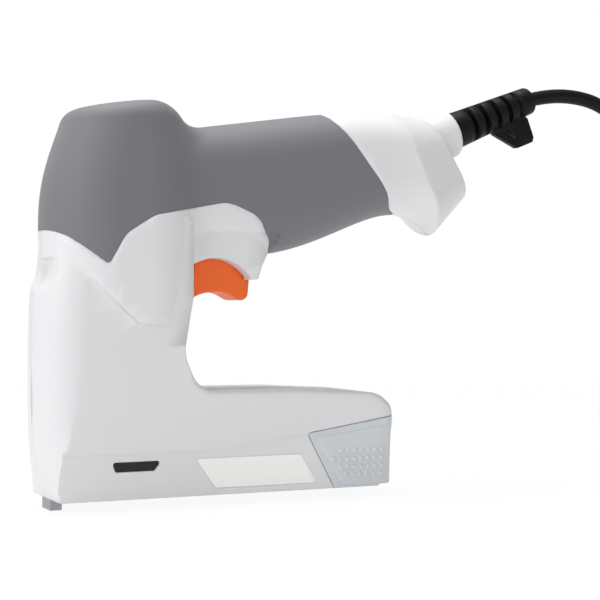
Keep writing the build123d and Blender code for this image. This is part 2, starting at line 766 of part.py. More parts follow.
# ---- Control board, terminals and cord clamp -------------------------------------
with BuildPart() as control_board:
    block((-6, 38), (-board_y, -board_y + 1.6), (board_bottom, board_top))
with BuildPart() as board_parts:
    block((-2, 8), (-board_y + 1.6, -board_y + 6), (board_bottom + 3, board_bottom + 15))
    with Locations((14, -board_y + 1.6 + 5, board_bottom + 9)):
        Cylinder(4.5, 10, rotation=(90, 0, 0))
    block((20, 23), (-board_y + 1.6, -board_y + 12), (board_bottom + 2, board_bottom + 17))
with BuildPart() as terminal_block:
    block((26, 36), (-board_y + 1.6, -board_y + 11), (board_bottom + 4, board_bottom + 16))
    with BuildSketch(Plane.YZ.offset(36)):
        with Locations((-board_y + 4.2, board_bottom + 10), (-board_y + 8.4, board_bottom + 10)):
            Circle(1.1)
    extrude(amount=-6, mode=Mode.SUBTRACT)

# ---- Cord guard, cord, hank and plug ---------------------------------------------
with BuildPart() as strain_relief:
    with BuildSketch(along_cord(-relief_tail)):
        Circle(cord_guard_neck)
    extrude(amount=relief_tail)
    with BuildSketch(along_cord(-relief_flange_start)):
        Circle(relief_flange_radius)
    extrude(amount=relief_flange_thickness)
    with BuildSketch(along_cord(trim_gap)):
        Circle(relief_start_radius)
    with BuildSketch(along_cord(relief_length)):
        Circle(relief_end_radius)
    loft()
    with BuildSketch(along_cord(0)):
        Circle(cord_guard_neck)
    extrude(amount=1)
    fillet(strain_relief.faces().sort_by(Axis.X)[-1].edges(), 1.8)
    for slit in range(slit_count):
        for side in (-1, 1):
            with BuildSketch(along_cord(slit_first + slit * slit_pitch - slit_width / 2)):
                Circle(relief_start_radius + 2)
                Circle(slit_core, mode=Mode.SUBTRACT)
                with Locations((side * (relief_start_radius + slit_spine), 0)):
                    Rectangle(2 * relief_start_radius, 4 * relief_start_radius, mode=Mode.INTERSECT)
            extrude(amount=slit_width, mode=Mode.SUBTRACT)
    with BuildSketch(Plane.XZ):
        with BuildLine():
            FilletPolyline(*beside_collar(tab_corners), radius=1.5, close=True)
        make_face()
        with BuildLine():
            Polyline(*beside_collar(tab_slot), close=True)
        make_face(mode=Mode.SUBTRACT)
    extrude(amount=tab_thickness / 2, both=True)

with BuildPart() as cord_tail:
    with BuildSketch(along_cord(-relief_tail - tail_length)):
        Circle(cord_radius)
    extrude(amount=tail_length)

with BuildPart() as cord_clamp:
    with BuildSketch(along_cord(-relief_tail - clamp_place - clamp_width)):
        Rectangle(24, 11)
        Circle(cord_radius, mode=Mode.SUBTRACT)
        with Locations((-8.5, 0), (8.5, 0)):
            Circle(1.5, mode=Mode.SUBTRACT)
    extrude(amount=clamp_width)

with BuildPart() as clamp_screws:
    for side in (-1, 1):
        with BuildSketch(along_cord(-relief_tail - clamp_place - clamp_width - 1.8)):
            with Locations((side * 8.5, 0)):
                Circle(2.6)
        extrude(amount=1.8)
        with BuildSketch(along_cord(-relief_tail - clamp_place - clamp_width)):
            with Locations((side * 8.5, 0)):
                Circle(1.5)
        extrude(amount=clamp_width)

tail_end = along_cord(-relief_tail - tail_length).origin
with BuildPart() as supply_leads:
    for side, height in ((-1, -board_y + 4.2), (1, -board_y + 8.4)):
        lead_start = tail_end + Vector(-0.6, side * 1.4, 0)
        lead_end = Vector(31, height, board_bottom + 10)
        bend = Vector((lead_start.X + lead_end.X) / 2, height, lead_end.Z)
        with BuildLine() as lead_path:
            FilletPolyline(lead_start, bend, lead_end, radius=4)
        with BuildSketch(Plane(origin=lead_start, z_dir=lead_path.line % 0)):
            Circle(0.9)
        sweep()

cord_exit = along_cord(relief_length).origin
cord_route = [
    (cord_exit.X, 0.0, cord_exit.Z), (155.5, 0.0, 190.3), (171.5, 0.3, 191.2), (187.5, 0.3, 188.4),
    (202.0, 0.4, 179.5), (212.5, -0.2, 164.5), (217.5, -1.5, 146.0), (218.5, -4.0, 124.0),
    (217.5, -7.5, 101.0), (217.5, -11.5, 78.0), (221.0, -15.8, 56.0), (229.5, -19.8, 36.5),
    (242.0, -23.3, 21.0), (258.0, -26.0, 10.2), (275.0, -27.6, 4.8), (292.0, -28.0, 3.6), (306.0, -28.0, 3.6),
]


def cord_along(points):
    """A tube of the cord along points, with each bend as wide as its two runs allow."""
    places = [Vector(*point) for point in points]
    runs = [after - before for before, after in zip(places, places[1:])]
    bends = [
        0.45 * min(one.length, two.length) / math.tan(math.radians(one.get_angle(two)) / 2)
        for one, two in zip(runs, runs[1:])
    ]
    with BuildPart() as tube:
        with BuildLine() as route:
            FilletPolyline(*places, radius=bends)
        with BuildSketch(Plane(origin=places[0], z_dir=route.line % 0)):
            Circle(cord_radius)
        sweep()
    length = sum(edge.length for edge in route.edges())
    print("cord bends", [round(bend) for bend in bends])
    print("cord length", length, "and by its volume", tube.part.volume / (math.pi * cord_radius**2))
    return tube.part


with BuildPart() as cord_tube:
    add(cord_along(cord_route))

hank_width = 2 * (hank_turn + cord_radius)
hank_length = hank_straight + hank_width
hank_middle = hank_front + hank_length / 2
hank_height = hank_layers * (2 * cord_radius + turn_gap)
with BuildPart() as cord_tie:
    with BuildSketch(Plane.YZ.offset(hank_middle - tie_width / 2)):
        with Locations((0, (hank_height + tie_sheet) / 2)):
            RectangleRounded(hank_width + 2 * tie_sheet, hank_height + tie_sheet, 4.0)
            RectangleRounded(hank_width, hank_height - tie_sheet, 4.0 - tie_sheet, mode=Mode.SUBTRACT)
    extrude(amount=tie_width)

with BuildPart() as cord_hank:
    with BuildSketch(Plane.XY):
        with Locations((hank_middle, 0)):
            SlotOverall(hank_length, hank_width)
            SlotOverall(hank_length - 8 * cord_radius, hank_width - 8 * cord_radius, mode=Mode.SUBTRACT)
    extrude(amount=hank_height)
    fillet(cord_hank.faces().filter_by(Axis.Z).edges(), cord_radius - 0.2)
    add(cord_tie.part, mode=Mode.SUBTRACT)

plug_centre = hank_height + tie_sheet + slide_gap + plug_height / 2
plug_start = hank_front + hank_length - hank_width / 2 - plug_inset
plug_face = plug_start - plug_neck - plug_length

# The last half turn of the hank climbs from its top layer to the plug.
rear_turn = hank_front + hank_length - hank_width / 2
top_layer = hank_height - cord_radius
end_rise = plug_centre - top_layer
end_steps = 5
end_route = []
for step in range(1, end_steps + 1):
    angle = math.radians(30 * step - 75)
    height = top_layer + end_rise * (step - 0.2) / end_steps
    end_route.append((rear_turn + inner_turn * math.cos(angle), inner_turn * math.sin(angle), height))
end_route.append((rear_turn - 5.6, plug_side + 0.8, plug_centre))
end_route.append((plug_start, plug_side, plug_centre))
with BuildPart() as cord_end:
    add(cord_along(end_route))



def plug_section(distance, corner, width, height):
    """A rounded section of the plug, at a distance from where the cord enters it towards the blades."""
    with BuildSketch(Plane(origin=(plug_start - distance, plug_side, plug_centre), x_dir=(0, 1, 0), z_dir=(-1, 0, 0))) as section:
        RectangleRounded(width, height, corner)
    return section.sketch


with BuildPart() as mains_plug:
    add(plug_section(0, cord_radius - 0.01, 2 * cord_radius, 2 * cord_radius))
    add(plug_section(plug_neck, cord_radius + 1.19, 2 * cord_radius + 2.4, 2 * cord_radius + 2.4))
    loft()
    add(plug_section(plug_neck, 4.5, 13, 10))
    add(plug_section(plug_neck + plug_length, 4.5, plug_width, plug_height))
    loft()
    for side in (-1, 1):
        middle = plug_side + side * blade_pitch / 2
        block(
            (plug_face, plug_face + blade_root),
            (middle - blade_sheet / 2, middle + blade_sheet / 2),
            (plug_centre - blade_height / 2, plug_centre + blade_height / 2),
            mode=Mode.SUBTRACT,
        )

with BuildPart() as plug_blades:
    for side in (-1, 1):
        middle = plug_side + side * blade_pitch / 2
        block(
            (plug_face - blade_reach, plug_face + blade_root),
            (middle - blade_sheet / 2, middle + blade_sheet / 2),
            (plug_centre - blade_height / 2, plug_centre + blade_height / 2),
        )
    chamfer(plug_blades.faces().group_by(Axis.X)[0].edges().filter_by(Axis.Z), 0.4)

if __name__ == "__main__":
    os.makedirs("parts", exist_ok=True)
    pieces = {
        "housing_left": housing_left, "housing_right": housing_right, "housing_screws": housing_screws,
        "label_plate": label_plate, "staple_window": staple_window, "trigger": trigger,
        "switch_body": switch_body, "switch_button": switch_button, "switch_lever": switch_lever,
        "solenoid_yoke": solenoid_yoke, "solenoid_bobbin": solenoid_bobbin, "solenoid_winding": solenoid_winding,
        "plunger": plunger, "driver_carrier": driver_carrier, "driver_blade": driver_blade, "blade_pin": blade_pin,
        "bumper": bumper, "return_spring": return_spring, "trigger_spring": trigger_spring,
        "nose_guide": nose_guide, "blade_guide": blade_guide, "magazine_cover": magazine_cover,
        "magazine_channel": magazine_channel, "inner_rail": inner_rail, "staple_stick": staple_stick,
        "pusher": pusher, "guide_rod": guide_rod, "pusher_spring": pusher_spring, "magazine_cap": magazine_cap,
        "control_board": control_board, "board_parts": board_parts, "terminal_block": terminal_block,
        "strain_relief": strain_relief, "cord_tail": cord_tail, "cord_clamp": cord_clamp,
        "clamp_screws": clamp_screws, "supply_leads": supply_leads, "cord_tube": cord_tube,
        "cord_hank": cord_hank, "cord_end": cord_end, "cord_tie": cord_tie, "mains_plug": mains_plug, "plug_blades": plug_blades,
    }
    for name, piece in pieces.items():
        piece.part.label = name
        export_step(piece.part, f"parts/{name}.step")
    for side, name in ((-1, "grip_left"), (1, "grip_right")):
        skin_half = half(grip.part, side)
        skin_half.label = name
        export_step(skin_half, f"parts/{name}.step")
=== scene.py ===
"""Electric stapler: the finishes, the smooth covers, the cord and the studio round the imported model."""

from __future__ import annotations

import json
import logging
import math
from dataclasses import dataclass, field
from enum import Enum

import bmesh
import bpy
from mathutils import Euler, Matrix, Vector

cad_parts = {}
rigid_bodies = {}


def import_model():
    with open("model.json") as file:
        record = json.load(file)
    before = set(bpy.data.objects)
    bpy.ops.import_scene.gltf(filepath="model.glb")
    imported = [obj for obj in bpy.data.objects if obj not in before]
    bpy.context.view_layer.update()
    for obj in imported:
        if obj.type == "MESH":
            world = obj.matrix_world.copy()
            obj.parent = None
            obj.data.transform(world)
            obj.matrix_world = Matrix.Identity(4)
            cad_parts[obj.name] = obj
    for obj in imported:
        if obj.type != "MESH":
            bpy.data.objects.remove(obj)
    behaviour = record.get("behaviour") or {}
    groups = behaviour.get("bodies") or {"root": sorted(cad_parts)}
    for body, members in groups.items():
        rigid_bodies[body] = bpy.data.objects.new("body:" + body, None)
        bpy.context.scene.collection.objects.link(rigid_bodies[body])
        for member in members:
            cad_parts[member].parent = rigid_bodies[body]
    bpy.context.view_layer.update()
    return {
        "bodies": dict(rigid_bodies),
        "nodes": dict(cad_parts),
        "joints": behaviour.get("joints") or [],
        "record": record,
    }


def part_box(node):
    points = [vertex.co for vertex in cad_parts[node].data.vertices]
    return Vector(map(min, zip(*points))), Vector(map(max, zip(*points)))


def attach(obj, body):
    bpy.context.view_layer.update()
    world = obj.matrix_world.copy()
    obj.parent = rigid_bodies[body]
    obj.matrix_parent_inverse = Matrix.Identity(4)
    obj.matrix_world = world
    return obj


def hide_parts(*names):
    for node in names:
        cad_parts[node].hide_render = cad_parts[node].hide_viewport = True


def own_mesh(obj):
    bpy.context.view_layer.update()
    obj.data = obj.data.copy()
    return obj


log = logging.getLogger("electric_stapler")
MM = 0.001

CORD_NODES = ("cord_tube", "cord_hank", "cord_end")

Point = tuple[float, float, float]


class Body(Enum):
    """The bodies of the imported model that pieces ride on."""

    TOOL = "tool_body"
    TRIGGER = "trigger"
    LEVER = "switch_lever"
    BUTTON = "switch_button"
    DRIVER = "driver"
    MAGAZINE = "magazine"
    PUSHER = "pusher"


# ---------------------------------------------------------------------------------------
# Materials
# ---------------------------------------------------------------------------------------


def colour(code: str) -> tuple[float, float, float, float]:
    """Turns an sRGB hex code into linear red, green, blue and alpha.

    Args:
        code: Six hex digits, such as "E8E8EA".

    Returns:
        The linear colour with an alpha of 1.
    """
    channels = []
    for start in (0, 2, 4):
        value = int(code[start : start + 2], 16) / 255
        channels.append(value / 12.92 if value <= 0.04045 else ((value + 0.055) / 1.055) ** 2.4)
    return (channels[0], channels[1], channels[2], 1.0)


def put_node(
    tree: bpy.types.NodeTree,
    kind: str,
    settings: dict | None = None,
    links: dict | None = None,
) -> bpy.types.Node:
    """Adds one shader node with its settings and its incoming links.

    Args:
        tree: The material's node tree.
        kind: The node's type, such as "ShaderNodeTexNoise".
        settings: Attribute names, or input names, and their values.
        links: Input names and the output sockets that feed them.

    Returns:
        The new node.
    """
    node = tree.nodes.new(kind)
    for name, value in (settings or {}).items():
        if hasattr(node, name):
            setattr(node, name, value)
        else:
            node.inputs[name].default_value = value
    for name, socket in (links or {}).items():
        tree.links.new(socket, node.inputs[name])
    return node


def start_material(name: str) -> tuple[bpy.types.Material, bpy.types.NodeTree, bpy.types.Node]:
    """Makes a new material with nodes.

    Args:
        name: The material's name.

    Returns:
        The material, its node tree and its Principled shader.
    """
    material = bpy.data.materials.new(name)
    material.use_nodes = True
    return material, material.node_tree, material.node_tree.nodes["Principled BSDF"]


@dataclass(frozen=True)
class Moulded:
    """Injection-moulded plastic or rubber: even colour, a fine spark-eroded grain and a slight tone drift."""

    name: str
    tone: str
    roughness: float = 0.4
    grain: float = 0.6  # spacing of the moulded grain, mm
    depth: float = 0.012  # height of the grain, mm
    drift: float = 0.03  # how much darker the tone gets in places
    patch: float = 1000 / 22  # size of those places, mm
    rounding: float = 0.5  # radius that edges look rounded to, mm
    soft_edges: tuple[tuple[float, float], ...] = ()  # heights and the radius there, both in mm
    sheen: float = 0.0
    specular: float = 0.5

    def make(self) -> bpy.types.Material:
        """Makes the material.

        Returns:
            The new material.
        """
        material, tree, shader = start_material(self.name)
        shader.inputs["Roughness"].default_value = self.roughness
        shader.inputs["Specular IOR Level"].default_value = self.specular
        shader.inputs["Sheen Weight"].default_value = self.sheen
        place = put_node(tree, "ShaderNodeTexCoord").outputs["Object"]
        clouds = put_node(
            tree,
            "ShaderNodeTexNoise",
            {"Scale": 1 / (self.patch * MM), "Detail": 3.0},
            {"Vector": place},
        )
        base = colour(self.tone)
        low = tuple(channel * (1 - self.drift) for channel in base[:3]) + (1.0,)
        ramp = put_node(tree, "ShaderNodeValToRGB", {}, {"Fac": clouds.outputs["Fac"]})
        ramp.color_ramp.elements[0].position = 0.35
        ramp.color_ramp.elements[0].color = low
        ramp.color_ramp.elements[1].position = 0.65
        ramp.color_ramp.elements[1].color = base
        tree.links.new(ramp.outputs["Color"], shader.inputs["Base Color"])
        grain = put_node(
            tree,
            "ShaderNodeTexNoise",
            {"Scale": 1 / (self.grain * MM), "Detail": 2.0},
            {"Vector": place},
        )
        soft_edge = put_node(tree, "ShaderNodeBevel", {"samples": 6, "Radius": self.rounding * MM})
        if self.soft_edges:
            tree.links.new(self.rounding_by_height(tree, place), soft_edge.inputs["Radius"])
        bump = put_node(
            tree,
            "ShaderNodeBump",
            {"Strength": 0.5, "Distance": self.depth * MM},
            {"Height": grain.outputs["Fac"], "Normal": soft_edge.outputs["Normal"]},
        )
        tree.links.new(bump.outputs["Normal"], shader.inputs["Normal"])
        return material

    def rounding_by_height(
        self,
        tree: bpy.types.NodeTree,
        place: bpy.types.NodeSocket,
    ) -> bpy.types.NodeSocket:
        """Makes the radius that edges look rounded to follow the height on the tool.

        Args:
            tree: The material's node tree.
            place: The object coordinates.

        Returns:
            The socket that gives the radius in metres.
        """
        highest = self.soft_edges[-1][0]
        largest = max(radius for _, radius in self.soft_edges)
        height = put_node(tree, "ShaderNodeSeparateXYZ", {}, {"Vector": place}).outputs["Z"]
        share = put_node(tree, "ShaderNodeMath", {"operation": "DIVIDE"})
        tree.links.new(height, share.inputs[0])
        share.inputs[1].default_value = highest * MM
        levels = put_node(tree, "ShaderNodeValToRGB", {}, {"Fac": share.outputs["Value"]})
        ramp = levels.color_ramp
        while len(ramp.elements) < len(self.soft_edges):
            ramp.elements.new(0.5)
        for element, (level, radius) in zip(ramp.elements, self.soft_edges):
            element.position = level / highest
            element.color = (radius / largest,) * 3 + (1.0,)
        scaled = put_node(tree, "ShaderNodeMath", {"operation": "MULTIPLY"})
        tree.links.new(levels.outputs["Color"], scaled.inputs[0])
        scaled.inputs[1].default_value = largest * MM
        return scaled.outputs["Value"]


@dataclass(frozen=True)
class Metal:
    """Drawn, plated or brushed metal: fine lines along one axis over a slightly uneven polish."""

    name: str
    tone: str
    roughness: float = 0.35
    line_spacing: float = 0.25  # mm between brushed lines
    along: Point = (1.0, 12.0, 12.0)  # stretch of the lines along each axis
    rounding: float = 0.25

    def make(self) -> bpy.types.Material:
        """Makes the material.

        Returns:
            The new material.
        """
        material, tree, shader = start_material(self.name)
        shader.inputs["Base Color"].default_value = colour(self.tone)
        shader.inputs["Metallic"].default_value = 1.0
        place = put_node(tree, "ShaderNodeTexCoord").outputs["Object"]
        stretched = put_node(tree, "ShaderNodeMapping", {"Scale": self.along}, {"Vector": place})
        lines = put_node(
            tree,
            "ShaderNodeTexNoise",
            {"Scale": 1 / (12 * self.line_spacing * MM), "Detail": 3.0},
            {"Vector": stretched.outputs["Vector"]},
        )
        polish = put_node(
            tree,
            "ShaderNodeMapRange",
            {"To Min": self.roughness - 0.08, "To Max": self.roughness + 0.08},
            {"Value": lines.outputs["Fac"]},
        )
        tree.links.new(polish.outputs["Result"], shader.inputs["Roughness"])
        soft_edge = put_node(tree, "ShaderNodeBevel", {"samples": 4, "Radius": self.rounding * MM})
        bump = put_node(
            tree,
            "ShaderNodeBump",
            {"Strength": 0.25, "Distance": 0.02 * MM},
            {"Height": lines.outputs["Fac"], "Normal": soft_edge.outputs["Normal"]},
        )
        tree.links.new(bump.outputs["Normal"], shader.inputs["Normal"])
        return material


@dataclass(frozen=True)
class ClearTint:
    """Tinted clear polycarbonate, as on a window that shows how many staples are left."""

    name: str
    tone: str
    roughness: float = 0.08
    ripple: float = 1000 / 60  # spacing of the waves in the sheet, mm
    index: float = 1.58  # of polycarbonate

    def make(self) -> bpy.types.Material:
        """Makes the material.

        Returns:
            The new material.
        """
        material, tree, shader = start_material(self.name)
        shader.inputs["Base Color"].default_value = colour(self.tone)
        shader.inputs["Roughness"].default_value = self.roughness
        shader.inputs["IOR"].default_value = self.index
        shader.inputs["Specular IOR Level"].default_value = 0.3
        place = put_node(tree, "ShaderNodeTexCoord").outputs["Object"]
        wave = put_node(
            tree,
            "ShaderNodeTexNoise",
            {"Scale": 1 / (self.ripple * MM), "Detail": 1.0},
            {"Vector": place},
        )
        bump = put_node(
            tree,
            "ShaderNodeBump",
            {"Strength": 0.1, "Distance": 0.05 * MM},
            {"Height": wave.outputs["Fac"]},
        )
        tree.links.new(bump.outputs["Normal"], shader.inputs["Normal"])
        return material


@dataclass(frozen=True)
class Winding:
    """Enamelled copper wire, wound in level rows: rings one wire apart up the coil."""

    name: str
    tone: str
    wire: float = 0.5  # mm

    def make(self) -> bpy.types.Material:
        """Makes the material.

        Returns:
            The new material.
        """
        material, tree, shader = start_material(self.name)
        shader.inputs["Base Color"].default_value = colour(self.tone)
        shader.inputs["Metallic"].default_value = 0.9
        shader.inputs["Roughness"].default_value = 0.32
        shader.inputs["Coat Weight"].default_value = 0.5
        place = put_node(tree, "ShaderNodeTexCoord").outputs["Object"]
        rows = put_node(
            tree,
            "ShaderNodeTexWave",
            {"bands_direction": "Z", "Scale": math.tau / 20 / (self.wire * MM), "Distortion": 0.2},
            {"Vector": place},
        )
        bump = put_node(
            tree,
            "ShaderNodeBump",
            {"Strength": 0.8, "Distance": 0.15 * MM},
            {"Height": rows.outputs["Fac"]},
        )
        tree.links.new(bump.outputs["Normal"], shader.inputs["Normal"])
        return material


FINISHES = {
    # Moulded ABS of the housing: cool white, fine matt grain with a soft broad highlight.
    # Its edges are softest along the top of the arm.
    "housing_white": Moulded(
        "white_abs_moulded",
        "E4E4E6",
        roughness=0.42,
        drift=0.015,
        soft_edges=((0.0, 0.7), (34.0, 0.7), (42.0, 5.0), (51.0, 5.0), (58.0, 1.2), (200.0, 1.2)),
    ),
    # Thermoplastic elastomer of the grip: mid grey, dull, with a dusty bloom.
    "grip_grey": Moulded(
        "grey_elastomer_moulded",
        "77767B",
        roughness=0.62,
        grain=0.5,
        depth=0.03,
        sheen=0.12,
    ),
    # Moulded ABS of the trigger: strong orange, even and half matt.
    "trigger_orange": Moulded("orange_abs_moulded", "FC6F2C", roughness=0.45, drift=0.05, specular=0.35),
    # Moulded ABS of the magazine cap: a pale blue-grey, as matt as the housing.
    "cap_grey": Moulded("blue_grey_abs_moulded", "D4D9DD", roughness=0.42, rounding=0.5),
    # Printed polyester label: the sheet is smooth, slightly warm white.
    "label_white": Moulded(
        "satin_polyester_label",
        "FEFDFB",
        roughness=0.3,
        depth=0.004,
        drift=0.01,
        rounding=0.2,
    ),
    # Smoked polycarbonate of the staple window: nearly black, glossy.
    "window_smoke": ClearTint("smoked_polycarbonate", "050506"),
    # Extruded and moulded black rubber of the cord and its guard: deep black with a low gleam.
    "cord_rubber": Moulded(
        "black_pvc_extruded",
        "0B0B0B",
        roughness=0.5,
        grain=0.8,
        depth=0.03,
        drift=0.2,
        specular=0.2,
    ),
    "rubber_black": Moulded(
        "black_rubber_moulded",
        "0C0B0C",
        roughness=0.6,
        depth=0.03,
        drift=0.2,
        specular=0.2,
    ),
    # Moulded nylons and the circuit board inside, and the coloured lead: dull, even tones.
    "switch_black": Moulded("black_nylon_moulded", "1A1A1C", roughness=0.45, drift=0.1),
    "switch_red": Moulded("red_nylon_moulded", "B02020", roughness=0.4, rounding=0.2),
    "bobbin_nylon": Moulded("natural_nylon_moulded", "D9D2BC", roughness=0.4),
    "board_green": Moulded("green_circuit_board", "1E5A34", roughness=0.35, rounding=0.1),
    "board_parts_black": Moulded("black_epoxy_moulded", "1C1C1E", roughness=0.4),
    "clamp_black": Moulded("black_clamp_moulded", "202022", roughness=0.5),
    "lead_blue": Moulded("blue_pvc_lead", "2855A0", roughness=0.4, rounding=0.2),
    # Woven nylon strap of the cord tie: coarse and dull.
    "tie_black": Moulded("black_woven_strap", "161618", roughness=0.8, grain=0.7, depth=0.12, drift=0.3),
    # Enamelled copper wire: reddish metal under a thin clear coat.
    "winding_copper": Winding("enamelled_copper_wire", "C46A35"),
    # Zinc-plated and drawn steels, from dull spring wire to bright staples.
    "screw_steel": Metal("zinc_plated_steel", "B9BABD", roughness=0.35),
    "spring_steel": Metal("drawn_spring_steel", "9A9BA0", roughness=0.35),
    "yoke_steel": Metal("rolled_yoke_steel", "8E9094", roughness=0.4),
    "nose_steel": Metal("pressed_nose_steel", "A4A6AA", roughness=0.38, along=(12.0, 12.0, 1.0)),
    "magazine_steel": Metal("pressed_magazine_steel", "A9ABAF", roughness=0.33),
    "staple_steel": Metal("bright_staple_wire", "C9CACD", roughness=0.25, along=(12.0, 1.0, 1.0)),
    # Nickelled brass of the plug's blades: a pale yellow metal.
    "blade_brass": Metal("nickelled_brass", "C2B994", roughness=0.25),
}


# ---------------------------------------------------------------------------------------
# Mesh helpers
# ---------------------------------------------------------------------------------------


def new_object(
    name: str,
    shape: bmesh.types.BMesh | None,
    data: bpy.types.ID | None = None,
) -> bpy.types.Object:
    """Makes an object from a bmesh, or from a curve or mesh that is there already.

    Args:
        name: The piece's name.
        shape: The bmesh to take over, which is freed, or None.
        data: The curve or mesh to use where shape is None.

    Returns:
        The linked object, at the origin.
    """
    if shape is not None:
        data = bpy.data.meshes.new(name)
        shape.to_mesh(data)
        shape.free()
    made = bpy.data.objects.new(name, data)
    bpy.context.scene.collection.objects.link(made)
    return made


def smooth_by_angle(piece: bpy.types.Object, degrees: float) -> None:
    """Shades a piece smooth, apart from edges sharper than an angle.

    Args:
        piece: The mesh object.
        degrees: Edges that turn by more than this stay sharp.
    """
    mesh = piece.data
    mesh.shade_smooth()
    mesh.set_sharp_from_angle(angle=math.radians(degrees))


def dress(piece: bpy.types.Object, material: bpy.types.Material) -> None:
    """Gives a piece one material in all its slots.

    Args:
        piece: The object to dress.
        material: The finish.
    """
    piece.data.materials.clear()
    piece.data.materials.append(material)


# ---------------------------------------------------------------------------------------
# Springs and covers
# ---------------------------------------------------------------------------------------


@dataclass(frozen=True)
class CoilSpring:
    """How a coil spring shortens when the part that it carries presses on it.

    Attributes:
        joint: The slide that presses it.
        axis: The direction of its length.
        seat: The end that it shortens towards, in mm.
        length: Its length at rest, in mm.
        travel: How much shorter it gets, in mm.
    """

    joint: str
    axis: Point
    seat: Point
    length: float
    travel: float

    def fold(self, piece: bpy.types.Object) -> None:
        """Gives the spring's piece a mesh of its own.

        Args:
            piece: The finished spring.
        """
        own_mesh(piece)


UP: Point = (0.0, 0.0, 1.0)
REARWARD: Point = (1.0, 0.0, 0.0)
SPRINGS = {
    "return_spring": CoilSpring("driver_slide", UP, (-70.0, 0.0, 40.56), 44.88, 21.3),
    "trigger_spring": CoilSpring("trigger_slide", UP, (-26.0, 7.0, 112.3), 8.4, 5.0),
    "pusher_spring": CoilSpring("pusher_slide", REARWARD, (47.54, 0.0, 14.4), 85.28, 60.0),
}


@dataclass
class Stapler:
    """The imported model, its finishes by slot name, and what each node is made of."""

    frame: dict
    materials: dict[str, bpy.types.Material] = field(default_factory=dict)
    slots: dict[str, str] = field(default_factory=dict)
    merge_within: float = 0.004  # mm between vertices that become one
    sliver: float = 0.002  # mm under which a face is closed up
    flat_weight: int = 60  # how much large flat faces steer the shading

    def __post_init__(self) -> None:
        """Makes every finish and reads each node's slot from the record."""
        for slot, finish in FINISHES.items():
            self.materials[slot] = finish.make()
        for part in self.frame["record"]["subparts"]:
            self.slots[part["node"]] = part["material_slot"]

    def finish_of(self, node: str) -> bpy.types.Material:
        """Returns: the material of a node's slot."""
        return self.materials[self.slots[node]]

    def cover(self, node: str, body: Body, degrees: float = 30.0) -> bpy.types.Object:
        """Stands a merged, smoothly shaded copy in for a node.

        Args:
            node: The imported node.
            body: The body that it rides on.
            degrees: Edges that turn by more than this stay sharp.

        Returns:
            The copy, dressed and riding on its body.
        """
        shape = bmesh.new()
        shape.from_mesh(self.frame["nodes"][node].data)
        bmesh.ops.remove_doubles(shape, verts=shape.verts, dist=self.merge_within * MM)
        bmesh.ops.dissolve_degenerate(shape, edges=shape.edges, dist=self.sliver * MM)
        copy = new_object(f"{node}_cover", shape)
        smooth_by_angle(copy, degrees)
        even = copy.modifiers.new("even_shading", "WEIGHTED_NORMAL")
        even.keep_sharp = True
        even.weight = self.flat_weight
        self.settle(copy, node, body)
        return copy

    def settle(self, piece: bpy.types.Object, node: str, body: Body) -> None:
        """Dresses a piece in a node's finish, rides it and lets it stand for the node.

        Args:
            piece: The finished piece.
            node: The node that it stands for.
            body: The body that it rides on.
        """
        dress(piece, self.finish_of(node))
        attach(piece, body.value)
        if node in SPRINGS:
            SPRINGS[node].fold(piece)
        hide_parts(node)

    def dress_hidden(self) -> None:
        """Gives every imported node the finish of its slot, also the pieces inside."""
        for node, piece in self.frame["nodes"].items():
            dress(piece, self.finish_of(node))


# ---------------------------------------------------------------------------------------
# Magazine cap
# ---------------------------------------------------------------------------------------


class Side(Enum):
    """The two sides of the tool, by the sign of their Y."""

    LEFT = -1
    RIGHT = 1


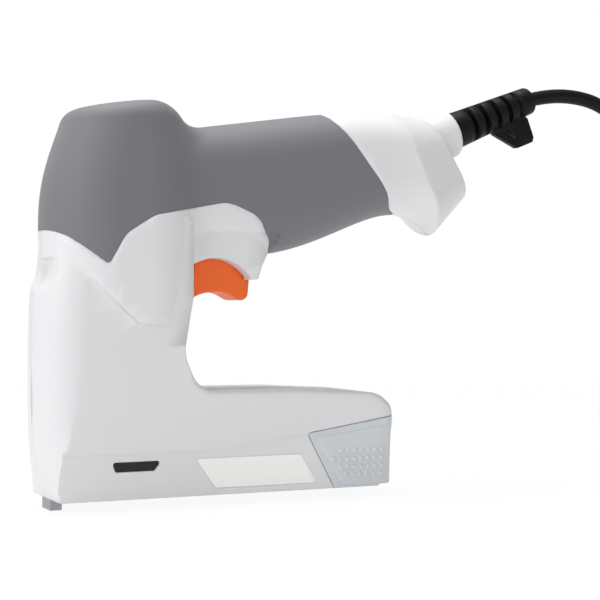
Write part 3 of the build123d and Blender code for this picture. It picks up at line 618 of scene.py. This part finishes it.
@dataclass
class MagazineCap:
    """The grey cap at the rear of the base: a raised panel and four rows of grip bumps on each side."""

    stapler: Stapler
    underside_half_width: float = 20.4
    lean: float = 3.6  # degrees that the sides lean out upwards
    corner_start: float = 51.5  # X where the sides start to round off to the rear
    corner_radius: float = 9.0
    # Each row of bumps: its Z, the X of its first bump, and how many there are.
    rows: tuple[tuple[float, float, int], ...] = (
        (21.3, 31.0, 7),
        (17.6, 27.4, 8),
        (14.0, 31.0, 7),
        (10.5, 33.8, 6),
    )
    bump_pitch: float = 3.45
    bump_radius: float = 1.1
    bump_height: float = 0.8
    panel_front: tuple[tuple[float, float], ...] = ((32.6, 5.4), (18.9, 28.0))  # X, Z at its foot and its top
    panel_rear: tuple[tuple[float, float], ...] = ((57.5, 5.4), (57.5, 33.0))
    panel_proud: float = 0.3
    shoulder: float = 0.5  # width of the panel's soft border
    shoulder_rise: Point = (-0.5, 0.6, 1.0)  # how far the border has risen, from its outer edge in
    panel_steps: int = 14

    def on_side(self, side: Side, x: float, z: float, proud: float) -> Vector:
        """Finds a point on the cap's leaning side.

        Args:
            side: Left or right.
            x: X in millimetres.
            z: Z in millimetres.
            proud: How far out of the surface the point stands.

        Returns:
            The point in metres.
        """
        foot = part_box("magazine_cap")[0].z / MM
        half = self.underside_half_width + math.tan(math.radians(self.lean)) * (z - foot)
        past = min(max(0.0, x - self.corner_start), self.corner_radius * 0.98)
        half -= self.corner_radius - math.sqrt(self.corner_radius**2 - past**2)
        return Vector((x, side.value * (half + proud), z)) * MM

    def bumps(self, side: Side) -> bpy.types.Object:
        """Makes one side's rows of low round grip bumps.

        Args:
            side: Left or right.

        Returns:
            The bumps as one piece.
        """
        shape = bmesh.new()
        for height, first, count in self.rows:
            for index in range(count):
                place = self.on_side(side, first + index * self.bump_pitch, height, self.panel_proud)
                squash = Matrix.Diagonal((self.bump_radius, self.bump_height, self.bump_radius, 1.0))
                bmesh.ops.create_uvsphere(
                    shape,
                    u_segments=16,
                    v_segments=10,
                    radius=MM,
                    matrix=Matrix.Translation(place) @ squash,
                )
        bumps = new_object(f"cap_grip_bumps_{side.name.lower()}", shape)
        smooth_by_angle(bumps, 60.0)
        return bumps

    def panel(self, side: Side) -> bpy.types.Object:
        """Makes the raised panel that the bumps stand on, with a soft shoulder round it.

        Args:
            side: Left or right.

        Returns:
            The panel as one piece.
        """
        (foot_front, foot), (top_front, front_top) = self.panel_front
        (foot_rear, _), (top_rear, rear_top) = self.panel_rear
        edge = self.shoulder / (foot_rear - foot_front)
        inner = self.panel_steps - 1
        shares = [0.0, edge / 2, edge, *(step / self.panel_steps for step in range(1, self.panel_steps))]
        shares += [1 - edge, 1 - edge / 2, 1.0]
        swell = [*self.shoulder_rise, *[1.0] * inner, *reversed(self.shoulder_rise)]
        last = len(shares) - 1
        shape = bmesh.new()
        bmesh.ops.create_grid(shape, x_segments=last, y_segments=last, size=0.5)
        for vertex in shape.verts:
            along, up = (round((value + 0.5) * last) for value in vertex.co.xy)
            run, rise = shares[along], shares[up]
            front = foot_front + (top_front - foot_front) * rise
            rear = foot_rear + (top_rear - foot_rear) * rise
            top = front_top + (rear_top - front_top) * run
            proud = self.panel_proud * min(swell[along], swell[up])
            vertex.co = self.on_side(side, front + (rear - front) * run, foot + (top - foot) * rise, proud)
        shape.normal_update()
        if sum(face.normal.y for face in shape.faces) * side.value < 0:
            bmesh.ops.reverse_faces(shape, faces=shape.faces)
        panel = new_object(f"cap_panel_{side.name.lower()}", shape)
        smooth_by_angle(panel, 60.0)
        return panel

    def build(self) -> None:
        """Makes both sides' panels and bumps, and lets them ride on the magazine."""
        for side in Side:
            for piece in (self.panel(side), self.bumps(side)):
                dress(piece, self.stapler.finish_of("magazine_cap"))
                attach(piece, Body.MAGAZINE.value)
        log.info("magazine cap: %d bumps on each side", sum(count for _, _, count in self.rows))


# ---------------------------------------------------------------------------------------
# Cord
# ---------------------------------------------------------------------------------------


@dataclass
class Cord:
    """The mains cord: out of its guard, down to the floor, six turns of a tied hank, and up to the plug."""

    radius: float = 3.5
    length: float = 1800.0
    exit_point: Point = (145.367, 0.0, 187.768)  # where it leaves the guard
    route: tuple[Point, ...] = (
        (155.5, 0.0, 190.3),
        (171.5, 0.3, 191.2),
        (187.5, 0.3, 188.4),
        (202.0, 0.4, 179.5),
        (212.5, -0.2, 164.5),
        (217.5, -1.5, 146.0),
        (218.5, -4.0, 124.0),
        (217.5, -7.5, 101.0),
        (217.5, -11.5, 78.0),
        (221.0, -15.8, 56.0),
        (229.5, -19.8, 36.5),
        (242.0, -23.3, 21.0),
        (258.0, -26.0, 10.2),
        (275.0, -27.6, 4.8),
        (292.0, -28.0, 3.6),
        (312.0, -28.0, 3.6),
    )
    outer_turn: float = 28.0
    inner_turn: float = 21.4
    layer: float = 7.05
    lowest: float = 3.6
    turn_step: float = 30.0  # degrees between the points of a turn's end
    points_per_end: int = 6
    first_angle: float = 75.0  # degrees, of the first point of a turn's end
    widen: float = 1 / 0.966  # the smooth line runs inside its points on a bend
    climb_in: float = 4.0  # how far a turn that climbs inside the others keeps clear of them
    climb_out: float = 3.0  # and one that climbs outside them
    # The last point before the plug, from the middle of the rear turns and the plug's axis.
    plug_lead: tuple[float, float] = (5.6, 0.8)

    def hank(self) -> list[Point]:
        """Works out the points of the hank's six turns.

        Returns:
            The points in millimetres, up to where the cord enters the plug.
        """
        low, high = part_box("cord_hank")
        front = low.x / MM + self.outer_turn + self.radius
        rear = high.x / MM - self.outer_turn - self.radius
        plug_low, plug_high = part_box("mains_plug")
        plug_end = Vector((plug_high.x, (plug_low.y + plug_high.y) / 2, (plug_low.z + plug_high.z) / 2)) / MM
        turns = [
            (self.outer_turn, 0),
            (self.inner_turn, 0),
            (self.inner_turn, 1),
            (self.outer_turn, 1),
            (self.outer_turn, 2),
            (self.inner_turn, 2),
        ]
        angles = [self.first_angle - self.turn_step * step for step in range(self.points_per_end)]
        lead = math.cos(math.radians(angles[0])) * self.widen
        points: list[Point] = []
        for index, (radius, level) in enumerate(turns):
            height = self.lowest + self.layer * level
            last = index == len(turns) - 1
            points.append((rear - radius * lead, -radius, height))
            for step, angle in enumerate(angles):
                turn = math.radians(-angle)
                rise = (plug_end.z - height) * min(1.0, max(0.0, (step - 0.2) / 5)) if last else 0.0
                reach = radius * self.widen
                points.append((rear + reach * math.cos(turn), reach * math.sin(turn), height + rise))
            if last:
                break
            points.append((rear - radius * lead, radius, height))
            points += self.front_end(front, (radius, height), turns[index + 1], angles)
        points.append((rear - self.plug_lead[0], plug_end.y + self.plug_lead[1], plug_end.z))
        points.append((plug_end.x + 5.0, plug_end.y, plug_end.z))
        points.append((plug_end.x - 1.0, plug_end.y, plug_end.z))
        return points

    def front_end(
        self,
        front: float,
        here: tuple[float, float],
        after: tuple[float, int],
        angles: list[float],
    ) -> list[Point]:
        """Works out the points of one turn's front end, which passes on to the next turn.

        Args:
            front: X of the middle of the front ends.
            here: Radius and height of this turn.
            after: Radius and layer of the next turn.
            angles: The angles of the end's points.

        Returns:
            The points in millimetres.
        """
        radius, height = here
        next_height = self.lowest + self.layer * after[1]
        mean = (radius + after[0]) / 2
        aside = (radius - after[0]) / 2
        shift = 0.0
        if next_height > height:
            shift = self.climb_in if radius < self.outer_turn else -self.climb_out
        middle = front + shift
        lead = math.cos(math.radians(angles[0])) * self.widen
        points = [(middle + mean * lead, radius, height)]
        for step, angle in enumerate(angles):
            turn = math.radians(angle)
            rise = (next_height - height) * min(1.0, (step + 0.5) / 5)
            reach = mean * self.widen
            points.append((middle - reach * math.cos(turn), aside + reach * math.sin(turn), height + rise))
        points.append((front + after[0] * lead, -after[0], next_height))
        return points

    def build(self, stapler: Stapler) -> bpy.types.Object:
        """Args:
            stapler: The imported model.

        Returns:
            The cord's curve object.
        """
        points = [self.exit_point, *self.route, *self.hank()]
        curve = bpy.data.curves.new("mains_cord", "CURVE")
        curve.dimensions = "3D"
        curve.bevel_depth = self.radius * MM
        curve.bevel_resolution = 5
        curve.resolution_u = 6
        curve.use_fill_caps = True
        spline = curve.splines.new("NURBS")
        spline.points.add(len(points) - 1)
        for place, point in zip(spline.points, points):
            place.co = (point[0] * MM, point[1] * MM, point[2] * MM, 1.0)
        spline.order_u = 3
        spline.use_endpoint_u = True
        cord = new_object("mains_cord", None, curve)
        dress(cord, stapler.materials["cord_rubber"])
        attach(cord, Body.TOOL.value)
        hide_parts(*CORD_NODES)
        return cord


# ---------------------------------------------------------------------------------------
# Studio
# ---------------------------------------------------------------------------------------


@dataclass
class Studio:
    """White floor and world, soft lamps, and the camera level with the grip."""

    floor_size: float = 6.0
    floor_grey: float = 0.9
    floor_drop: float = 0.0002  # how far the floor lies under the cord, so that they don't flicker
    whiten_from: tuple[float, float] = (0.3, 0.93)  # distance from the middle, and share of pure white there
    whiten_to: tuple[float, float] = (1.2, 1.0)
    world_light: float = 0.44
    camera_place: Point = (-0.2752, -0.6350, 0.0891)
    camera_target: Point = (0.0206, -0.0006, 0.0891)
    lens: float = 91.5

    def build(self) -> None:
        """Makes the floor, the world, the lamps and the camera."""
        self.floor()
        self.world()
        self.lamps()
        self.camera()

    def floor(self) -> None:
        """Lays the white floor under the tool."""
        shape = bmesh.new()
        bmesh.ops.create_grid(shape, x_segments=1, y_segments=1, size=self.floor_size)
        bmesh.ops.translate(shape, verts=shape.verts, vec=(0, 0, -self.floor_drop))
        floor = new_object("studio_floor", shape)
        material, tree, shader = start_material("white_sweep")
        shader.inputs["Base Color"].default_value = (self.floor_grey,) * 3 + (1.0,)
        shader.inputs["Roughness"].default_value = 0.9
        white = put_node(tree, "ShaderNodeEmission", {"Color": (1, 1, 1, 1), "Strength": 1.0})
        path = put_node(tree, "ShaderNodeLightPath")
        seen = put_node(tree, "ShaderNodeMath", {"operation": "MAXIMUM"})
        tree.links.new(path.outputs["Is Camera Ray"], seen.inputs[0])
        tree.links.new(path.outputs["Is Glossy Ray"], seen.inputs[1])
        place = put_node(tree, "ShaderNodeTexCoord").outputs["Object"]
        away = put_node(tree, "ShaderNodeVectorMath", {"operation": "LENGTH"}, {"Vector": place})
        (near, least), (far, most) = self.whiten_from, self.whiten_to
        whiter = put_node(
            tree,
            "ShaderNodeMapRange",
            {"From Min": near, "From Max": far, "To Min": least, "To Max": most},
            {"Value": away.outputs["Value"]},
        )
        share = put_node(tree, "ShaderNodeMath", {"operation": "MULTIPLY"})
        tree.links.new(seen.outputs["Value"], share.inputs[0])
        tree.links.new(whiter.outputs["Result"], share.inputs[1])
        mix = put_node(tree, "ShaderNodeMixShader")
        tree.links.new(share.outputs["Value"], mix.inputs["Fac"])
        tree.links.new(shader.outputs["BSDF"], mix.inputs[1])
        tree.links.new(white.outputs["Emission"], mix.inputs[2])
        tree.links.new(mix.outputs["Shader"], tree.nodes["Material Output"].inputs["Surface"])
        dress(floor, material)

    def world(self) -> None:
        """Fills the world with a plain light, and pure white where it is seen."""
        world = bpy.data.worlds.new("studio_world")
        bpy.context.scene.world = world
        world.use_nodes = True
        tree = world.node_tree
        light = tree.nodes["Background"]
        light.inputs["Color"].default_value = (1, 1, 1, 1)
        light.inputs["Strength"].default_value = self.world_light
        seen = put_node(tree, "ShaderNodeBackground", {"Color": (1, 1, 1, 1), "Strength": 1.0})
        path = put_node(tree, "ShaderNodeLightPath")
        either = put_node(tree, "ShaderNodeMath", {"operation": "MAXIMUM"})
        tree.links.new(path.outputs["Is Camera Ray"], either.inputs[0])
        tree.links.new(path.outputs["Is Transmission Ray"], either.inputs[1])
        mix = put_node(tree, "ShaderNodeMixShader")
        tree.links.new(either.outputs["Value"], mix.inputs["Fac"])
        tree.links.new(light.outputs["Background"], mix.inputs[1])
        tree.links.new(seen.outputs["Background"], mix.inputs[2])
        tree.links.new(mix.outputs["Shader"], tree.nodes["World Output"].inputs["Surface"])

    def lamps(self) -> None:
        """Hangs a wide key lamp ahead of the nose, a weak fill on the left side and a lamp above."""
        for name, place, size, power in (
            ("key", (-1.5, -0.45, 0.8), 0.9, 9.0),
            ("fill", (-0.3, -1.6, 0.9), 1.2, 0.6),
            ("top", (-0.15, 0.15, 1.5), 0.9, 19.0),
        ):
            light = bpy.data.lights.new(f"{name}_lamp", "AREA")
            light.energy = power
            light.size = size
            lamp = bpy.data.objects.new(f"{name}_lamp", light)
            bpy.context.scene.collection.objects.link(lamp)
            lamp.location = place
            lamp.rotation_euler = self.aim(place)

    def aim(self, place: Point) -> Euler:
        """Turns something at a place towards what the camera looks at.

        Args:
            place: Where it stands.

        Returns:
            Its rotation.
        """
        return (Vector(self.camera_target) - Vector(place)).to_track_quat("-Z", "Y").to_euler()

    def camera(self) -> None:
        """Sets the camera at the viewing angle of the tool's left side, 25 degrees towards its nose."""
        data = bpy.data.cameras.new("camera")
        data.lens = self.lens
        data.sensor_width = 36.0
        data.clip_start = 0.01
        camera = bpy.data.objects.new("camera", data)
        bpy.context.scene.collection.objects.link(camera)
        camera.location = self.camera_place
        camera.rotation_euler = self.aim(self.camera_place)
        bpy.context.scene.camera = camera


def main() -> None:
    """Builds the whole scene, sub-assembly by sub-assembly."""
    logging.basicConfig(level=logging.INFO, format="%(name)s: %(message)s")
    for old in list(bpy.data.objects):
        bpy.data.objects.remove(old)
    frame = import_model()
    stapler = Stapler(frame)
    stapler.dress_hidden()
    bodies = frame["record"]["behaviour"]["bodies"]
    for body, nodes in bodies.items():
        for node in nodes:
            if node not in CORD_NODES:
                stapler.cover(node, Body(body))
    MagazineCap(stapler).build()
    Cord().build(stapler)
    Studio().build()
    bpy.context.scene.view_settings.view_transform = "Standard"


if __name__ == "__main__":
    main()
